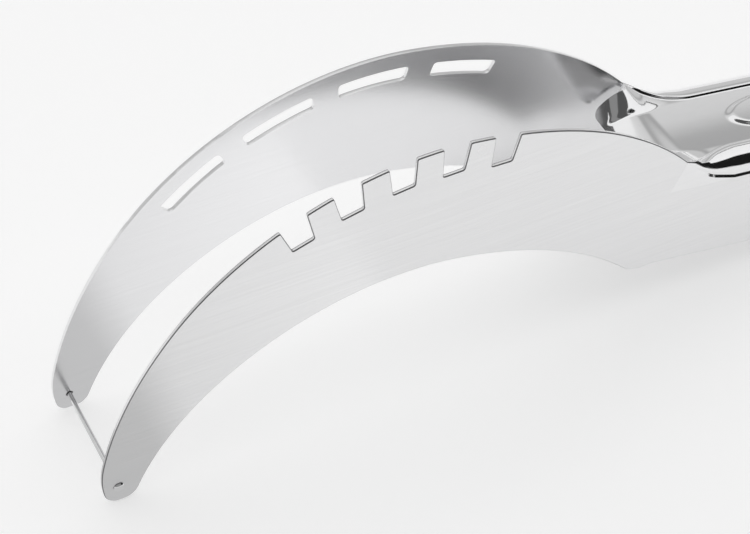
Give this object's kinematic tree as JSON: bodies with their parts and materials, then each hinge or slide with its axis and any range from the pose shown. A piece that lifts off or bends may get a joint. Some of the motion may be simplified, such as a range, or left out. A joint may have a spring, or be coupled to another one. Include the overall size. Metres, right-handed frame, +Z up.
{
  "type": "melon slicer",
  "caption": "Stainless melon slicer: a folded channel handle carries two parallel sickle-shaped blades, one notched and one slotted, joined at the tips by a thin cutter rod.",
  "frame": {"origin": "on the ground, under the middle of the overall length, midway between the blades; the tool stands on the two tips and on the heel of the handle", "axes": "+X along the tool towards the end of the handle, +Y towards the slotted rear blade, +Z up"},
  "size_m": [0.21, 0.0264, 0.0728],
  "materials": {
    "handle": "polished",
    "front_blade": "fine satin outside, polished inside",
    "rear_blade": "fine satin outside, polished inside",
    "cutter_rod": "drawn wire"
  },
  "bodies": {
    "handle": {"handle": "handle"},
    "front_blade": {"front_blade": "front_blade"},
    "rear_blade": {"rear_blade": "rear_blade"},
    "cutter_rod": {"cutter_rod": "cutter_rod"}
  },
  "joints": [
    {"name": "front_squeeze", "type": "hinge", "parent": "handle", "child": "front_blade", "pos_m": [0.01658, -0.0117, 0.02963], "axis": [-0.2889, 0, -0.9574], "range_deg": [0, 2.5], "stiffness_Nm_per_rad": 4},
    {"name": "rear_squeeze", "type": "hinge", "parent": "handle", "child": "rear_blade", "pos_m": [0.01658, 0.0117, 0.02963], "axis": [0.2889, 0, 0.9574], "range_deg": [0, 2.5], "stiffness_Nm_per_rad": 4},
    {"name": "rod_turn", "type": "hinge", "parent": "handle", "child": "cutter_rod", "pos_m": [-0.10158, 0, 0.0048], "axis": [0, 1, 0], "continuous": true}
  ],
  "couplings": [
    {"joint": "rear_squeeze", "follows": "front_squeeze", "ratio": 1}
  ]
}
